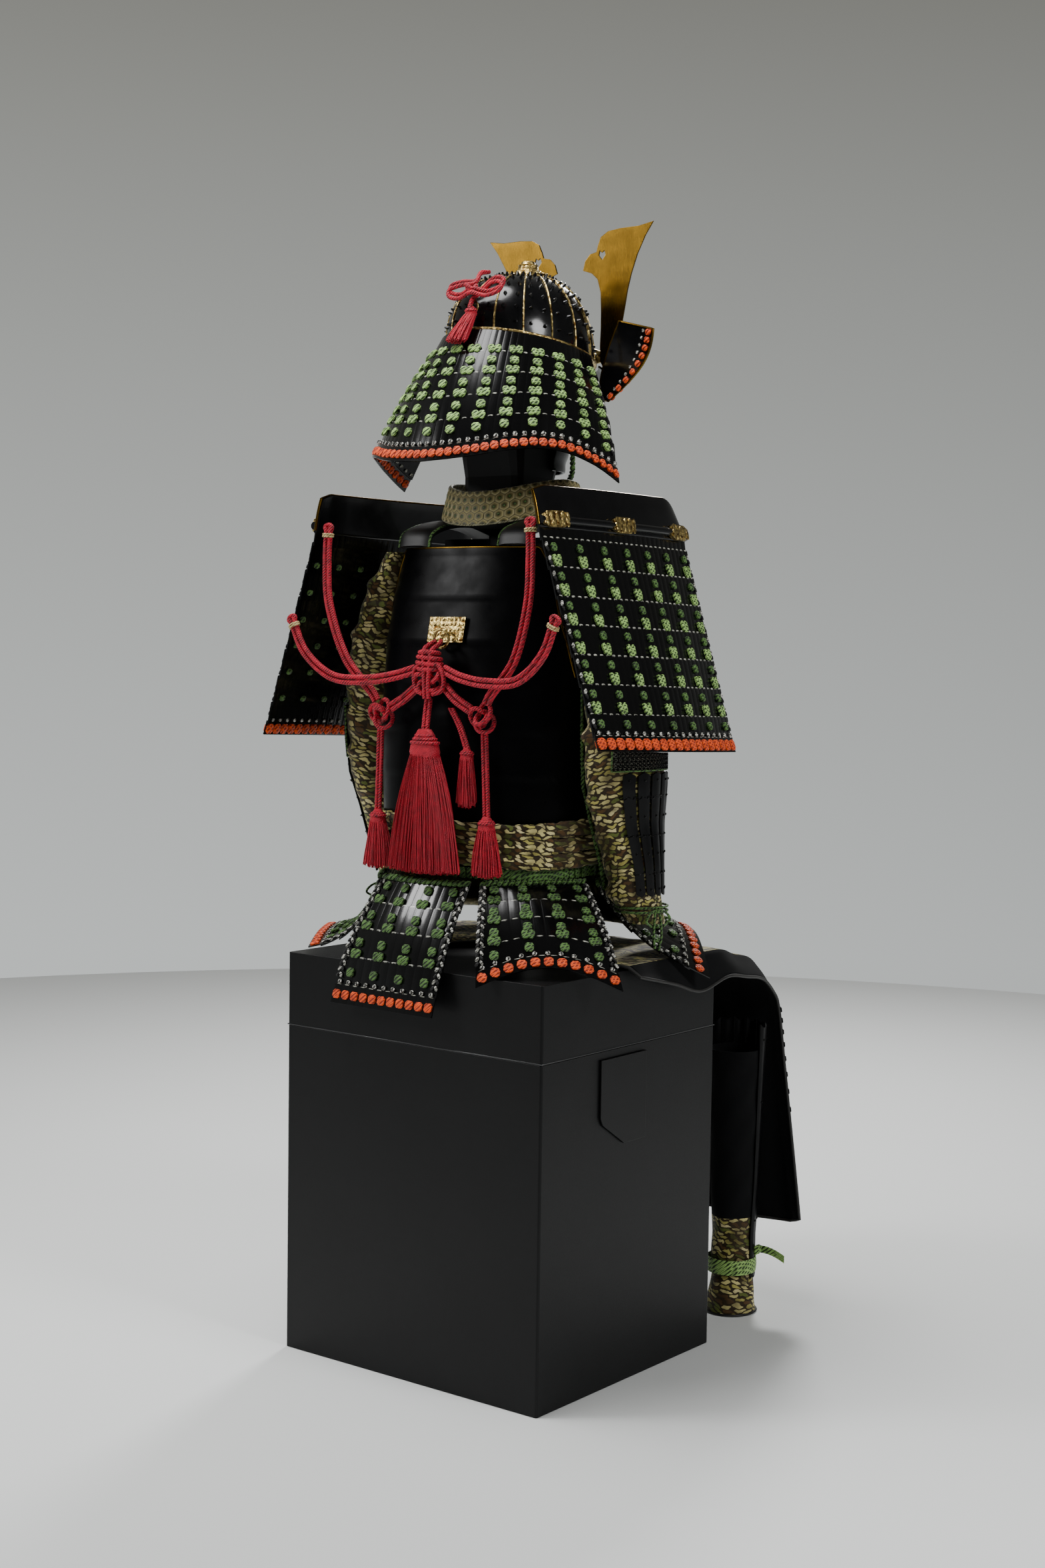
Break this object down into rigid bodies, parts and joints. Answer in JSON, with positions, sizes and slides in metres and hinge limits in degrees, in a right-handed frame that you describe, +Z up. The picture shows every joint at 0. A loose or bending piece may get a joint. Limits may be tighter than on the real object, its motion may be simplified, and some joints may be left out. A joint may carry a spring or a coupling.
{
  "type": "samurai armour seated on its chest and stand",
  "caption": "Laced samurai armour with horned helmet, shoulder guards, sleeves, skirt and leg guards, seated on a lidded chest with an inner stand.",
  "frame": {"origin": "centre of the chest's underside, on the floor", "axes": "+Z up, the armour faces -Y, its left side is +X"},
  "size_m": [0.616, 0.6514, 1.5897],
  "materials": {
    "lacquered_iron": "glossy black lacquer",
    "satin_wood": "satin black lacquer",
    "laced_lames": "black lacquered scales laced in green silk",
    "gilt_metal": "gilt, textured",
    "brass_sheet": "brushed",
    "crimson_silk": "braided silk",
    "green_silk": "braided silk",
    "brocade": "woven leaf brocade",
    "tan_leather": "quilted in hexagons",
    "dark_leather": "matt"
  },
  "bodies": {
    "root": {"helmet_bowl": "lacquered_iron", "visor": "lacquered_iron", "cuirass_back": "lacquered_iron", "cuirass_front": "lacquered_iron", "chin_guard": "lacquered_iron", "turnback_left": "lacquered_iron", "turnback_right": "lacquered_iron", "forearm_splints_left": "lacquered_iron", "forearm_splints_right": "lacquered_iron", "shin_guard_left": "lacquered_iron", "shin_guard_right": "lacquered_iron", "shoulder_board_left": "lacquered_iron", "shoulder_board_right": "lacquered_iron", "chest_body": "satin_wood", "chest_lid": "satin_wood", "stand": "satin_wood", "neck_guard": "laced_lames", "skirt_back": "laced_lames", "skirt_back_right": "laced_lames", "skirt_back_left": "laced_lames", "skirt_right": "laced_lames", "skirt_left": "laced_lames", "skirt_front": "laced_lames", "shoulder_guard_left": "laced_lames", "shoulder_guard_right": "laced_lames", "crown_fitting": "gilt_metal", "horn_socket": "gilt_metal", "ring_plate": "gilt_metal", "horn_left": "brass_sheet", "horn_right": "brass_sheet", "helmet_bow": "crimson_silk", "bow_tassel": "crimson_silk", "knot_centre": "crimson_silk", "tassel_centre": "crimson_silk", "tassel_inner": "crimson_silk", "knot_left": "crimson_silk", "knot_right": "crimson_silk", "guard_cord_upper_left": "crimson_silk", "guard_cord_upper_right": "crimson_silk", "guard_cord_lower_left": "crimson_silk", "guard_cord_lower_right": "crimson_silk", "knot_cord_left": "crimson_silk", "knot_cord_right": "crimson_silk", "tassel_left": "crimson_silk", "tassel_right": "crimson_silk", "chin_cord": "green_silk", "lacing_band": "green_silk", "shin_tie_left": "green_silk", "shin_tie_right": "green_silk", "sash": "brocade", "sleeve_left": "brocade", "sleeve_right": "brocade", "thigh_guard_left": "brocade", "thigh_guard_right": "brocade", "gaiter_left": "brocade", "gaiter_right": "brocade", "collar": "tan_leather", "chest_flap": "dark_leather", "shoulder_strap_left": "dark_leather", "shoulder_strap_right": "dark_leather"}
  },
  "joints": []
}
